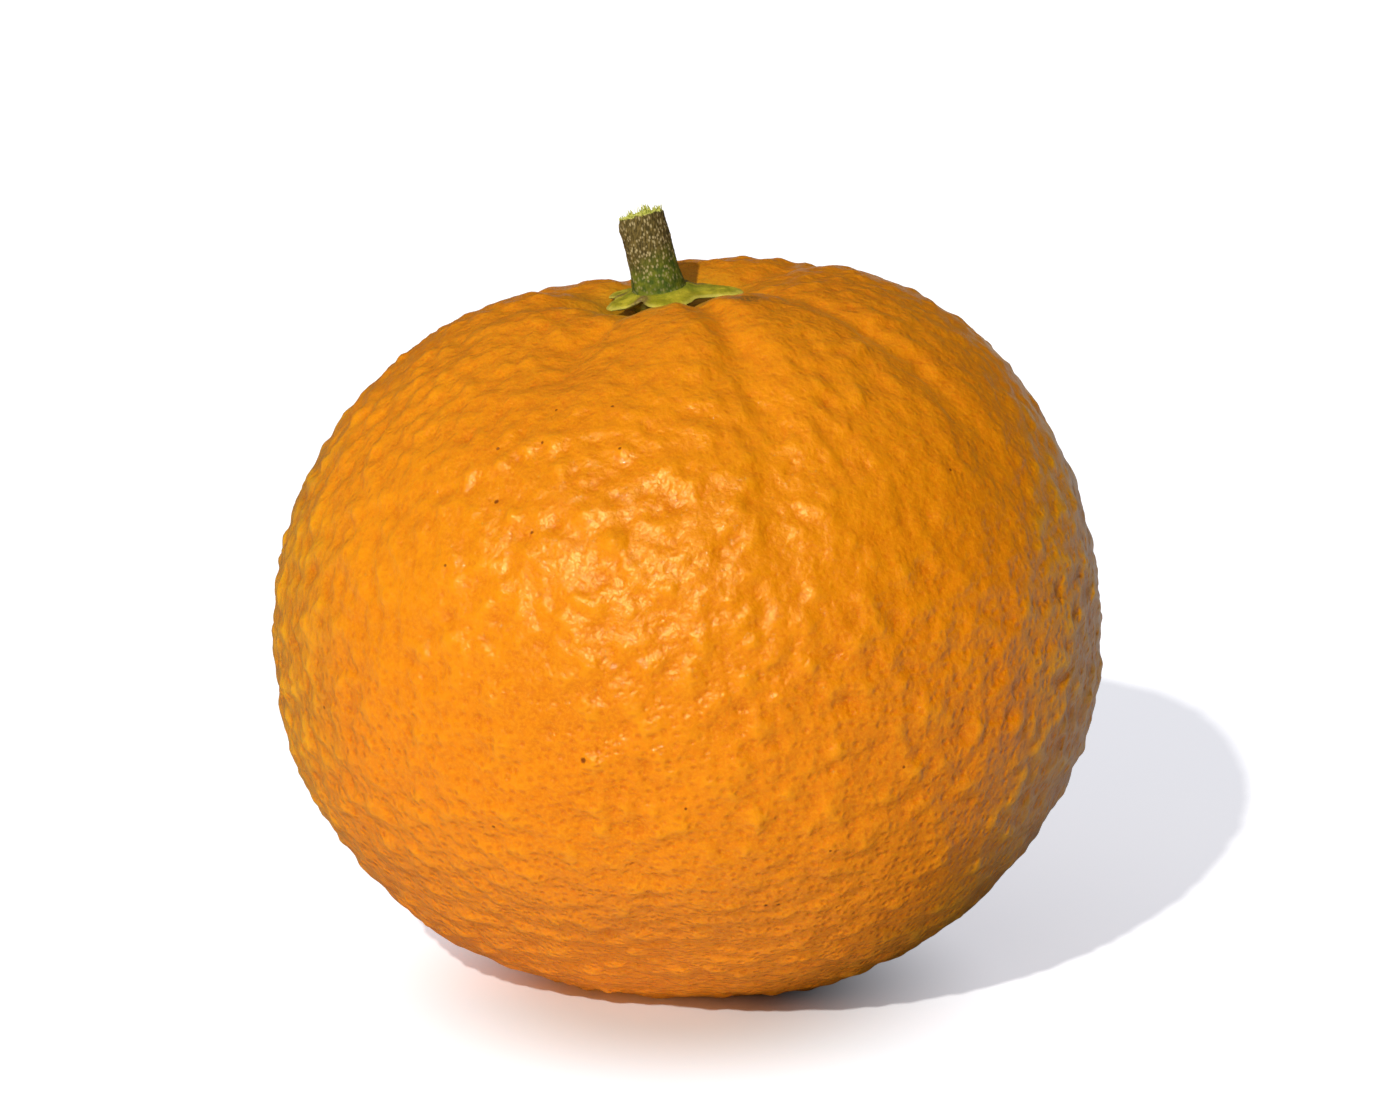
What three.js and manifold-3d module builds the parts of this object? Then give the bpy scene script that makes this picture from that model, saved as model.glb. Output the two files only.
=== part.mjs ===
// A whole orange with the stub of its stem, standing on the small flat of its underside.
// Millimetres, +Z up, +X to the right and -Y to the front. The origin is at the
// centre of the outer box, on the surface that the fruit rests on.
import * as THREE from 'three';
import { mergeVertices } from 'three/addons/utils/BufferGeometryUtils.js';
import Module from 'manifold-3d';

// ---- driving dimensions -------------------------------------------------
// Body of the fruit: two half super-ellipsoids, 82 mm wide and 72 mm tall.
const HALF_WIDTH = 41.036;        // along the fruit's own x
const HALF_DEPTH = 40.193;        // along the fruit's own y
const CROWN = 34.559;             // centre to the top pole, before the stem cavity
const BASE = 36.724;              // centre to the bottom pole, before the flat is cut
const CROWN_POWER = 2.15;         // 2 is an ellipsoid, more is squarer shoulders
const BASE_POWER = 2.131;
const LEAN = THREE.MathUtils.degToRad(7.879);   // the stem end leans to -X
const CENTRE_HEIGHT = 36.25;     // of the body's centre above the resting surface
const BOX_X = -0.212;               // centre of the outer box, measured from the body's centre
const BOX_Y = 0.095;

// Broad lumps of the outline, as a share of the radius, every 24 degrees around
// a plane tipped back by LUMP_TIP.
const LUMPS = [-0.0058, -0.0083, 0.0203, 0.0333, -0.0319, 0.0152, 0.0106,
  -0.0081, 0.0083, -0.0281, 0.0369, 0.0218, 0.0347, -0.0052, 0.0081];
const LUMP_STEP = THREE.MathUtils.degToRad(24);
const LUMP_TIP = THREE.MathUtils.degToRad(16);
const LUMP_FOCUS = 14;

// Flats and swells of the underside, in mm: azimuth and elevation in degrees, height.
const BELLY = [
  [-175, -40, 1.72], [-147, -44, -1.5], [-119, -47, -1.96], [-91, -48, -1.24],
  [-63, -47, -1.39], [-35, -45, 2.01], [-5, -44, -1.02],
];
const BELLY_FOCUS = 9;

// Shoulders round the crown, in mm, every 30 degrees of azimuth at SHOULDER_POLAR.
const SHOULDERS = [-0.76, -0.87, 0.44, 0.43, -0.23, 0.05, 0.7, 0.06, -0.9, -0.12, 1.06, -0.12];
const SHOULDER_POLAR = THREE.MathUtils.degToRad(22);
const SHOULDER_FOCUS = 45;

// Stem cavity: a wide dish with a nearly level floor.
const CAVITY = { x: 2.1, y: 1.3, stretch: 1.2, width: 7.6, power: 3.5, depth: 2.7 };

// Furrows that run out from the cavity between the shoulders of the fruit:
// polar angle, azimuth, depth and half width along each, angles in degrees.
const FURROWS = [
  { // front right, the longest
    polar: [6, 12, 18.4, 24, 30, 36.6, 42.7, 48.5, 55.1, 61.2, 66.9, 72.4, 77.1, 90],
    azimuth: [-50, -52, -54.8, -57.3, -61.5, -63.9, -65.5, -66.8, -68.8, -70.2, -71.1, -71.7, -72, -73],
    depth: [0, 0.8, 1.15, 1.2, 1.1, 1.0, 0.9, 0.8, 0.65, 0.5, 0.38, 0.25, 0.12, 0],
    width: [1.2, 1.6, 2.0, 2.2, 2.5, 2.8, 3.0, 3.2, 3.5, 3.8, 4, 4, 4, 4], skew: [1.0, 0.8] },
  { // right, over the shoulder
    polar: [6, 12, 16, 20, 24, 27.2, 31.7, 36.4, 41.7, 46.6, 50.6, 53.6, 57, 59.9, 64.3, 68.7, 80, 90],
    azimuth: [0, -2, -4, -8, -12, -15, -18.4, -22, -24, -24.5, -25.7, -26.7, -27, -27.4, -28.4, -29.9, -32, -34],
    depth: [0, 0.4, 0.6, 0.6, 0.6, 0.65, 0.75, 0.8, 0.8, 0.75, 0.7, 0.65, 0.6, 0.5, 0.4, 0.3, 0.1, 0],
    width: [1.2, 1.4, 1.6, 1.7, 1.7, 1.8, 1.8, 1.9, 2.0, 2.0, 2.1, 2.1, 2.2, 2.3, 2.6, 3, 3, 3], skew: [1.3, 0.8] },
  { // front left
    polar: [6, 10, 14.3, 17.4, 19.4, 21.7, 24.3, 30, 35.4, 40.6, 50],
    azimuth: [-97, -100, -107, -112.6, -116, -117.5, -117, -115, -113.7, -112.8, -112],
    depth: [0, 0.3, 0.7, 0.9, 0.95, 0.9, 0.8, 0.6, 0.4, 0.2, 0],
    width: [1.2, 1.3, 1.4, 1.5, 1.6, 1.7, 1.8, 2.1, 2.4, 2.7, 3], skew: [1, 1] },
  { // left
    polar: [4, 8, 10, 12, 14.3, 17.9, 22.7, 26.9, 34, 42],
    azimuth: [172, 173, 176, 180, 184, 182, 182, 188, 190, 192],
    depth: [0, 0.6, 0.9, 0.9, 0.9, 0.75, 0.6, 0.4, 0.2, 0],
    width: [1.5, 1.7, 1.9, 2.0, 2.1, 2.2, 2.5, 3, 3, 3], skew: [1, 1] },
  { // back right
    polar: [6, 12, 17, 21.4, 24.2, 30.9, 42, 55, 66],
    azimuth: [20, 22, 26, 29, 30.7, 35.5, 38, 38, 38],
    depth: [0, 0.3, 0.5, 0.6, 0.6, 0.6, 0.5, 0.3, 0],
    width: [1.2, 1.4, 1.6, 1.8, 1.8, 2.1, 2.5, 3, 3], skew: [1, 1] },
  { // back
    polar: [6, 12, 18, 26, 36, 48, 62],
    azimuth: [88, 90, 94, 97, 99, 100, 101],
    depth: [0, 0.7, 1.0, 0.9, 0.7, 0.4, 0],
    width: [1.4, 1.6, 1.8, 2.1, 2.6, 3, 3], skew: [1, 1] },
  { // back left
    polar: [6, 12, 18, 26, 36, 50],
    azimuth: [132, 133, 137, 142, 145, 147],
    depth: [0, 0.4, 0.6, 0.6, 0.35, 0],
    width: [1.4, 1.6, 1.8, 2.1, 2.6, 3], skew: [1, 1] },
];

// Calyx: a five-lobed green star that sits in the cavity under the stem.
const CALYX = { x: 1.73, y: 1.5, top: 33.13, thickness: 0.95, edge: 0.5, notch: 3.75, gap: 0.35 };
const LOBES = [ // azimuth, reach from the centre, half angle, droop of the tip
  [-155, 5.5, 25, 0.3], [-68, 5.4, 30, 0.2], [-13, 8.2, 22, 0.5], [75, 6.2, 25, 0.2], [142, 6.0, 24, 0.3],
];

// Stem: a stub cut 7.6 mm above the calyx, leaning a little more than the fruit.
const STEM = { length: 7.6, foot: 2.72, waist: 2.42, neck: 2.3, lean: THREE.MathUtils.degToRad(13.5), gap: 0.35 };

const FRUIT_DETAIL = 15;          // 20 * (detail + 1)^2 triangles
const POLE_GATHER = 0.5;          // draws the mesh towards the two poles

// ---- shape of the fruit --------------------------------------------------
const smoothTable = (xs, ys, x) => {
  const at = (v) => {
    if (v <= xs[0]) return ys[0];
    for (let i = 1; i < xs.length; i++) {
      if (v <= xs[i]) return ys[i - 1] + (ys[i] - ys[i - 1]) * (v - xs[i - 1]) / (xs[i] - xs[i - 1]);
    }
    return ys[ys.length - 1];
  };
  return 0.25 * at(x - 3) + 0.5 * at(x) + 0.25 * at(x + 3);
};

// Fruit frame to world: lean about Y, then up to the centre's height.
const toWorld = new THREE.Matrix4().makeRotationY(-LEAN).setPosition(-BOX_X, -BOX_Y, CENTRE_HEIGHT);
const fromWorldDir = new THREE.Matrix4().makeRotationY(LEAN);

const lumpDirs = LUMPS.map((_, i) => {
  const a = i * LUMP_STEP;
  return new THREE.Vector3(Math.cos(a), Math.sin(a) * Math.sin(LUMP_TIP), Math.sin(a) * Math.cos(LUMP_TIP))
    .applyMatrix4(fromWorldDir);
});

const bellyDirs = BELLY.map(([azimuth, elevation]) => {
  const a = THREE.MathUtils.degToRad(azimuth);
  const e = THREE.MathUtils.degToRad(elevation);
  return new THREE.Vector3(Math.cos(e) * Math.cos(a), Math.cos(e) * Math.sin(a), Math.sin(e))
    .applyMatrix4(fromWorldDir);
});

const shoulderDirs = SHOULDERS.map((_, i) => new THREE.Vector3(
    Math.sin(SHOULDER_POLAR) * Math.cos(i * Math.PI / 6),
    Math.sin(SHOULDER_POLAR) * Math.sin(i * Math.PI / 6), Math.cos(SHOULDER_POLAR)));

// Distance from the body's centre to the peel along the unit vector n (fruit frame).
function peelRadius(n) {
  const across = Math.sqrt((n.x / HALF_WIDTH) ** 2 + (n.y / HALF_DEPTH) ** 2);
  let r = n.z >= 0
    ? (across ** CROWN_POWER + (n.z / CROWN) ** CROWN_POWER) ** (-1 / CROWN_POWER)
    : (across ** BASE_POWER + (-n.z / BASE) ** BASE_POWER) ** (-1 / BASE_POWER);
  let swell = 1;
  lumpDirs.forEach((d, i) => { swell += LUMPS[i] * Math.exp(LUMP_FOCUS * (n.dot(d) - 1)); });
  r *= swell;
  bellyDirs.forEach((d, i) => { r += BELLY[i][2] * Math.exp(BELLY_FOCUS * (n.dot(d) - 1)); });
  if (n.z <= 0) return r;
  const s = Math.hypot((r * n.x - CAVITY.x) / CAVITY.stretch, r * n.y - CAVITY.y);
  let rise = 0;
  shoulderDirs.forEach((d, i) => { rise += SHOULDERS[i] * Math.exp(SHOULDER_FOCUS * (n.dot(d) - 1)); });
  let sink = CAVITY.depth * Math.exp(-((s / CAVITY.width) ** CAVITY.power));
  r += rise;
  const polar = THREE.MathUtils.radToDeg(Math.acos(Math.min(1, n.z)));
  const azimuth = THREE.MathUtils.radToDeg(Math.atan2(n.y, n.x));
  const ring = r * Math.hypot(n.x, n.y);
  for (const f of FURROWS) {
    if (polar >= f.polar[f.polar.length - 1] + 3) continue;
    const turn = THREE.MathUtils.euclideanModulo(azimuth - smoothTable(f.polar, f.azimuth, polar) + 180, 360) - 180;
    if (Math.abs(turn) > 120) continue;
    const off = ring * THREE.MathUtils.degToRad(turn);
    const w = smoothTable(f.polar, f.width, polar) * (off < 0 ? f.skew[0] : f.skew[1]);
    sink += smoothTable(f.polar, f.depth, polar) * Math.exp(-((off / w) ** 2));
  }
  return r - sink;
}

// Height of the peel above the body's centre plane at (x, y) of the fruit frame, near the crown.
function peelHeight(x, y) {
  let z = CROWN - CAVITY.depth;
  for (let i = 0; i < 40; i++) {
    const v = new THREE.Vector3(x, y, z);
    const d = v.length();
    z += peelRadius(v.divideScalar(d)) - d;
  }
  return z;
}

function closedGeometry(positions, indices) {
  const g = new THREE.BufferGeometry();
  g.setAttribute('position', new THREE.Float32BufferAttribute(positions, 3));
  g.setIndex(indices);
  g.computeVertexNormals();
  return g;
}

const wasm = await Module();
wasm.setup();

function solidFrom(geometry) {
  const g = geometry.clone();
  g.deleteAttribute('normal');
  g.deleteAttribute('uv');
  const m = mergeVertices(g, 1e-5);
  return new wasm.Manifold(new wasm.Mesh({
    numProp: 3,
    vertProperties: new Float32Array(m.attributes.position.array),
    triVerts: new Uint32Array(m.index.array),
  }));
}

function geometryFrom(solid) {
  const m = solid.getMesh();
  return closedGeometry(Array.from(m.vertProperties), Array.from(m.triVerts));
}

function makeFruit() {
  const ball = new THREE.IcosahedronGeometry(1, FRUIT_DETAIL);
  ball.deleteAttribute('normal');
  ball.deleteAttribute('uv');
  const g = mergeVertices(ball, 1e-5);
  const p = g.attributes.position;
  const n = new THREE.Vector3();
  for (let i = 0; i < p.count; i++) {
    n.fromBufferAttribute(p, i).normalize();
    const polar = Math.acos(THREE.MathUtils.clamp(n.z, -1, 1));
    const az = Math.atan2(n.y, n.x);
    const gathered = polar - 0.5 * POLE_GATHER * Math.sin(2 * polar);
    n.set(Math.sin(gathered) * Math.cos(az), Math.sin(gathered) * Math.sin(az), Math.cos(gathered));
    n.multiplyScalar(peelRadius(n)).applyMatrix4(toWorld);
    p.setXYZ(i, n.x, n.y, n.z);
  }
  // The resting flat: everything below the surface is taken off level.
  const under = new THREE.BoxGeometry(120, 120, 20);
  under.translate(0, 0, -10);
  return geometryFrom(solidFrom(g).subtract(solidFrom(under)));
}

// ---- calyx ----------------------------------------------------------------
function lobeAt(azimuth) {
  let reach = CALYX.notch;
  let droop = 0;
  for (const [a, r, half, d] of LOBES) {
    const t = THREE.MathUtils.euclideanModulo(azimuth - a + 180, 360) - 180;
    const k = Math.exp(-Math.pow(Math.abs(t) / half, 2.4));
    reach += (r - CALYX.notch) * k;
    droop += d * k;
  }
  return { reach, droop };
}

function makeCalyx() {
  const SIDES = 64, RINGS = 7;
  const top = [], bottom = [];
  for (let j = 1; j <= RINGS; j++) {
    for (let i = 0; i < SIDES; i++) {
      const az = 360 * i / SIDES;
      const { reach, droop } = lobeAt(az);
      const t = j / RINGS;
      const x = CALYX.x + reach * t * Math.cos(THREE.MathUtils.degToRad(az));
      const y = CALYX.y + reach * t * Math.sin(THREE.MathUtils.degToRad(az));
      const thick = THREE.MathUtils.lerp(CALYX.thickness, CALYX.edge, t * t);
      let z = CALYX.top - droop * t * t * t;
      const low = Math.max(z - thick, peelHeight(x, y) + CALYX.gap);
      z = Math.max(z, low + 0.45);
      top.push(new THREE.Vector3(x, y, z));
      bottom.push(new THREE.Vector3(x, y, low));
    }
  }
  const all = [new THREE.Vector3(CALYX.x, CALYX.y, CALYX.top),
    new THREE.Vector3(CALYX.x, CALYX.y, Math.max(CALYX.top - CALYX.thickness, peelHeight(CALYX.x, CALYX.y) + CALYX.gap)),
    ...top, ...bottom];
  const T = (j, i) => 2 + (j - 1) * SIDES + (i % SIDES);
  const B = (j, i) => 2 + RINGS * SIDES + (j - 1) * SIDES + (i % SIDES);
  const idx = [];
  for (let i = 0; i < SIDES; i++) {
    idx.push(0, T(1, i), T(1, i + 1), 1, B(1, i + 1), B(1, i));
    for (let j = 1; j < RINGS; j++) {
      idx.push(T(j, i), T(j + 1, i), T(j + 1, i + 1), T(j, i), T(j + 1, i + 1), T(j, i + 1));
      idx.push(B(j, i), B(j + 1, i + 1), B(j + 1, i), B(j, i), B(j, i + 1), B(j + 1, i + 1));
    }
    idx.push(T(RINGS, i), B(RINGS, i), B(RINGS, i + 1), T(RINGS, i), B(RINGS, i + 1), T(RINGS, i + 1));
  }
  const pos = [];
  all.forEach((v) => { v.applyMatrix4(toWorld); pos.push(v.x, v.y, v.z); });
  return closedGeometry(pos, idx);
}

// ---- stem -----------------------------------------------------------------
function makeStem() {
  const SIDES = 28, RINGS = 9;
  const lean = STEM.lean - LEAN;   // in the fruit frame
  const axis = new THREE.Vector3(-Math.sin(lean), 0, Math.cos(lean));
  const foot = new THREE.Vector3(CALYX.x, CALYX.y, CALYX.top + STEM.gap);
  const pos = [], idx = [];
  const put = (v) => { v.applyMatrix4(toWorld); pos.push(v.x, v.y, v.z); };
  put(foot.clone());
  for (let j = 0; j <= RINGS; j++) {
    const t = j / RINGS;
    const tilt = lean * t;
    for (let i = 0; i < SIDES; i++) {
      const a = 2 * Math.PI * i / SIDES;
      let r = t < 0.55 ? THREE.MathUtils.lerp(STEM.foot, STEM.waist, THREE.MathUtils.smoothstep(t, 0, 0.4))
        : THREE.MathUtils.lerp(STEM.waist, STEM.neck, (t - 0.55) / 0.45);
      r += 0.05 * Math.sin(5 * a + 0.6) + 0.05 * Math.sin(3 * a + 2.1);
      r += 0.16 * Math.exp(-(((t - 0.86) / 0.1) ** 2)) * Math.max(0, Math.cos(a - Math.PI));
      if (j === RINGS) r *= 0.93;
      const c = foot.clone().addScaledVector(axis, t * STEM.length);
      put(c.add(new THREE.Vector3(r * Math.cos(a) * Math.cos(tilt), r * Math.sin(a), r * Math.cos(a) * Math.sin(tilt))));
    }
  }
  put(foot.clone().addScaledVector(axis, STEM.length + 0.18));
  const R = (j, i) => 1 + j * SIDES + (i % SIDES);
  const last = 1 + (RINGS + 1) * SIDES;
  for (let i = 0; i < SIDES; i++) {
    idx.push(0, R(0, i + 1), R(0, i));
    for (let j = 0; j < RINGS; j++) idx.push(R(j, i), R(j, i + 1), R(j + 1, i + 1), R(j, i), R(j + 1, i + 1), R(j + 1, i));
    idx.push(last, R(RINGS, i), R(RINGS, i + 1));
  }
  return closedGeometry(pos, idx);
}

// ---- assembly ---------------------------------------------------------------
const orange = new THREE.Group();
orange.name = 'orange';

const fruit = new THREE.Mesh(makeFruit(), new THREE.MeshStandardMaterial({ color: 0xf08c12, roughness: 0.42, metalness: 0 }));
fruit.name = 'fruit';
orange.add(fruit);

const calyx = new THREE.Mesh(makeCalyx(), new THREE.MeshStandardMaterial({ color: 0x93902c, roughness: 0.6, metalness: 0 }));
calyx.name = 'calyx';
orange.add(calyx);

const stem = new THREE.Mesh(makeStem(), new THREE.MeshStandardMaterial({ color: 0x6f6638, roughness: 0.8, metalness: 0 }));
stem.name = 'stem';
orange.add(stem);

export default orange;
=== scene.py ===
import math

import bpy
import numpy as np
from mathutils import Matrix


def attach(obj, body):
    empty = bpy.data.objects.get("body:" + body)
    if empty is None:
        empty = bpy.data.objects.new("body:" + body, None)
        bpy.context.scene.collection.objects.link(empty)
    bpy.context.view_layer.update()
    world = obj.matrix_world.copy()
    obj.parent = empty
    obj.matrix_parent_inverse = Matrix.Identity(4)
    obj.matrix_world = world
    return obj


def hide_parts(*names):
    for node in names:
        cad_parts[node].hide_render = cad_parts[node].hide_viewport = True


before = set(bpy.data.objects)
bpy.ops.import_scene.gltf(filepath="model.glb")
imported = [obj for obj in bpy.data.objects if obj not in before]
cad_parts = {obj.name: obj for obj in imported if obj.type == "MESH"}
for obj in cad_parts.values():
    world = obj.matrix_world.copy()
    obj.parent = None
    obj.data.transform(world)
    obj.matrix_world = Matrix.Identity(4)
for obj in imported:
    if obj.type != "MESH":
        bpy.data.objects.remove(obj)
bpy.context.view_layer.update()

# ------------------------------------------------------------------ camera
# Seen from the front, 16 degrees down, 600 mm away, on a long lens.
TARGET = np.array([1.390, -0.095, 42.707])          # mm
VIEW_DOWN = math.radians(16.0)
VIEW_DIR = np.array([0.0, math.cos(VIEW_DOWN), -math.sin(VIEW_DOWN)])
DISTANCE = 600.0
LENS = 155.83

cam_data = bpy.data.cameras.new("camera")
cam = bpy.data.objects.new("camera", cam_data)
bpy.context.scene.collection.objects.link(cam)
cam_data.sensor_fit = "HORIZONTAL"
cam_data.sensor_width = 36.0
cam_data.lens = LENS
cam_data.clip_start = 0.01
cam_data.clip_end = 100.0
cam.location = (TARGET - VIEW_DIR * DISTANCE) * 0.001
cam.rotation_euler = (math.radians(90.0) - VIEW_DOWN, 0.0, 0.0)
bpy.context.scene.camera = cam

# ------------------------------------------------------------- shape of the fruit
# All in mm, in the fruit's own frame: centre O, axis leaning to -X.
HALF_W, HALF_D, CROWN, BASE = 41.036, 40.193, 34.559, 36.724
P_CROWN, P_BASE = 2.15, 2.131
LEAN = math.radians(7.879)
O = np.array([0.212, -0.095, 36.25])
R_FRUIT = np.array([
    [math.cos(LEAN), 0.0, math.sin(LEAN)],
    [0.0, 1.0, 0.0],
    [-math.sin(LEAN), 0.0, math.cos(LEAN)],
])                                                # rows are the fruit's axes
LUMPS = np.array([-0.0058, -0.0083, 0.0203, 0.0333, -0.0319, 0.0152, 0.0106,
                  -0.0081, 0.0083, -0.0281, 0.0369, 0.0218, 0.0347, -0.0052, 0.0081])
la = np.radians(np.arange(0, 360, 24.0))
LUMP_DIRS = np.stack([np.cos(la), np.sin(la) * math.sin(VIEW_DOWN), np.sin(la) * math.cos(VIEW_DOWN)], 1) @ R_FRUIT.T
# flats and swells of the underside: azimuth, elevation, height
BELLY = np.array([(-175, -40, 1.72), (-147, -44, -1.5), (-119, -47, -1.96), (-91, -48, -1.24),
                  (-63, -47, -1.39), (-35, -45, 2.01), (-5, -44, -1.02)])
ba, be = np.radians(BELLY[:, 0]), np.radians(BELLY[:, 1])
BELLY_DIRS = np.stack([np.cos(be) * np.cos(ba), np.cos(be) * np.sin(ba), np.sin(be)], 1) @ R_FRUIT.T
SHOULDERS = np.array([-0.76, -0.87, 0.44, 0.43, -0.23, 0.05, 0.7, 0.06, -0.9, -0.12, 1.06, -0.12])
sa = np.radians(np.arange(0, 360, 30.0))
SHOULDER_DIRS = np.stack([np.sin(math.radians(22)) * np.cos(sa), np.sin(math.radians(22)) * np.sin(sa),
                          np.full(12, math.cos(math.radians(22)))], 1)
CAVITY = dict(x=2.1, y=1.3, stretch=1.2, width=7.6, power=3.5, depth=2.7)
# polar angle, azimuth, depth, half width, (skew left, skew right)
FURROWS = [
    ([6, 12, 18.4, 24, 30, 36.6, 42.7, 48.5, 55.1, 61.2, 66.9, 72.4, 77.1, 90],
     [-50, -52, -54.8, -57.3, -61.5, -63.9, -65.5, -66.8, -68.8, -70.2, -71.1, -71.7, -72, -73],
     [0, 0.8, 1.15, 1.2, 1.1, 1.0, 0.9, 0.8, 0.65, 0.5, 0.38, 0.25, 0.12, 0],
     [1.2, 1.6, 2.0, 2.2, 2.5, 2.8, 3.0, 3.2, 3.5, 3.8, 4, 4, 4, 4], (1.0, 0.8)),
    ([6, 12, 16, 20, 24, 27.2, 31.7, 36.4, 41.7, 46.6, 50.6, 53.6, 57, 59.9, 64.3, 68.7, 80, 90],
     [0, -2, -4, -8, -12, -15, -18.4, -22, -24, -24.5, -25.7, -26.7, -27, -27.4, -28.4, -29.9, -32, -34],
     [0, 0.4, 0.6, 0.6, 0.6, 0.65, 0.75, 0.8, 0.8, 0.75, 0.7, 0.65, 0.6, 0.5, 0.4, 0.3, 0.1, 0],
     [1.2, 1.4, 1.6, 1.7, 1.7, 1.8, 1.8, 1.9, 2.0, 2.0, 2.1, 2.1, 2.2, 2.3, 2.6, 3, 3, 3], (1.3, 0.8)),
    ([6, 10, 14.3, 17.4, 19.4, 21.7, 24.3, 30, 35.4, 40.6, 50],
     [-97, -100, -107, -112.6, -116, -117.5, -117, -115, -113.7, -112.8, -112],
     [0, 0.3, 0.7, 0.9, 0.95, 0.9, 0.8, 0.6, 0.4, 0.2, 0],
     [1.2, 1.3, 1.4, 1.5, 1.6, 1.7, 1.8, 2.1, 2.4, 2.7, 3], (1, 1)),
    ([4, 8, 10, 12, 14.3, 17.9, 22.7, 26.9, 34, 42],
     [172, 173, 176, 180, 184, 182, 182, 188, 190, 192],
     [0, 0.6, 0.9, 0.9, 0.9, 0.75, 0.6, 0.4, 0.2, 0],
     [1.5, 1.7, 1.9, 2.0, 2.1, 2.2, 2.5, 3, 3, 3], (1, 1)),
    ([6, 12, 17, 21.4, 24.2, 30.9, 42, 55, 66],
     [20, 22, 26, 29, 30.7, 35.5, 38, 38, 38],
     [0, 0.3, 0.5, 0.6, 0.6, 0.6, 0.5, 0.3, 0],
     [1.2, 1.4, 1.6, 1.8, 1.8, 2.1, 2.5, 3, 3], (1, 1)),
    ([6, 12, 18, 26, 36, 48, 62], [88, 90, 94, 97, 99, 100, 101],
     [0, 0.7, 1.0, 0.9, 0.7, 0.4, 0], [1.4, 1.6, 1.8, 2.1, 2.6, 3, 3], (1, 1)),
    ([6, 12, 18, 26, 36, 50], [132, 133, 137, 142, 145, 147],
     [0, 0.4, 0.6, 0.6, 0.35, 0], [1.4, 1.6, 1.8, 2.1, 2.6, 3], (1, 1)),
]


def table_at(xs, ys, x):
    return 0.25 * np.interp(x - 3, xs, ys) + 0.5 * np.interp(x, xs, ys) + 0.25 * np.interp(x + 3, xs, ys)


def peel_radius(n):
    """Distance from O to the smooth peel along the unit vectors n."""
    nx, ny, nz = n[..., 0], n[..., 1], n[..., 2]
    q = np.sqrt((nx / HALF_W) ** 2 + (ny / HALF_D) ** 2)
    up, down = np.maximum(nz, 0) / CROWN, np.maximum(-nz, 0) / BASE
    r = np.where(nz >= 0, (q ** P_CROWN + up ** P_CROWN + 1e-300) ** (-1 / P_CROWN),
                 (q ** P_BASE + down ** P_BASE + 1e-300) ** (-1 / P_BASE))
    r = r * (1 + np.exp(14 * (n @ LUMP_DIRS.T - 1)) @ LUMPS)
    r = r + np.exp(9 * (n @ BELLY_DIRS.T - 1)) @ BELLY[:, 2]
    s = np.hypot((r * nx - CAVITY["x"]) / CAVITY["stretch"], r * ny - CAVITY["y"])
    sink = np.where(nz > 0, CAVITY["depth"] * np.exp(-(s / CAVITY["width"]) ** CAVITY["power"]), 0)
    r = r + np.exp(45 * (n @ SHOULDER_DIRS.T - 1)) @ SHOULDERS
    polar = np.degrees(np.arccos(np.clip(nz, -1, 1)))
    azimuth = np.degrees(np.arctan2(ny, nx))
    ring = r * np.hypot(nx, ny)
    for th, ph, d, w, skew in FURROWS:
        turn = (azimuth - table_at(th, ph, polar) + 180) % 360 - 180
        off = ring * np.radians(turn)
        width = table_at(th, w, polar) * np.where(off < 0, skew[0], skew[1])
        sink = sink + np.where((np.abs(turn) < 120) & (nz > 0),
                               table_at(th, d, polar) * np.exp(-(off / width) ** 2), 0)
    return r - sink


def to_world(p):
    return p @ R_FRUIT + O


def peel_height(x, y):
    """Height in the fruit frame of the smooth peel above (x, y), near the crown."""
    z = np.full_like(x, CROWN - CAVITY["depth"])
    for _ in range(25):
        v = np.stack([x, y, z], -1)
        d = np.linalg.norm(v, axis=-1)
        z = z + peel_radius(v / d[..., None]) - d
    return z


# ------------------------------------------------------------------- noise
def _hash(ix, iy, iz, seed):
    h = (ix.astype(np.uint64) * np.uint64(0x9E3779B1) ^ iy.astype(np.uint64) * np.uint64(0x85EBCA77)
         ^ iz.astype(np.uint64) * np.uint64(0xC2B2AE3D) ^ np.uint64(seed * 7919 + 13))
    h ^= h >> np.uint64(15)
    h = (h * np.uint64(0x2C1B3C6D)) & np.uint64(0xFFFFFFFF)
    h ^= h >> np.uint64(12)
    h = (h * np.uint64(0x297A2D39)) & np.uint64(0xFFFFFFFF)
    h ^= h >> np.uint64(15)
    return h


def _unit(h, k):
    return ((h >> np.uint64(k)) & np.uint64(1023)).astype(float) / 1023.0


def noise(p, seed):
    """Smooth gradient noise, about -1 to 1, one unit per cell."""
    i = np.floor(p).astype(np.int64)
    f = p - i
    u = f * f * f * (f * (f * 6 - 15) + 10)
    total = np.zeros(len(p))
    for dx in (0, 1):
        for dy in (0, 1):
            for dz in (0, 1):
                h = _hash(i[:, 0] + dx + 4096, i[:, 1] + dy + 4096, i[:, 2] + dz + 4096, seed)
                g = np.stack([_unit(h, 0), _unit(h, 10), _unit(h, 20)], 1) * 2 - 1
                g /= np.linalg.norm(g, axis=1, keepdims=True) + 1e-9
                w = (u[:, 0] if dx else 1 - u[:, 0]) * (u[:, 1] if dy else 1 - u[:, 1]) * (u[:, 2] if dz else 1 - u[:, 2])
                total += w * (g * (f - [dx, dy, dz])).sum(1)
    return total * 1.6


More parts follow.
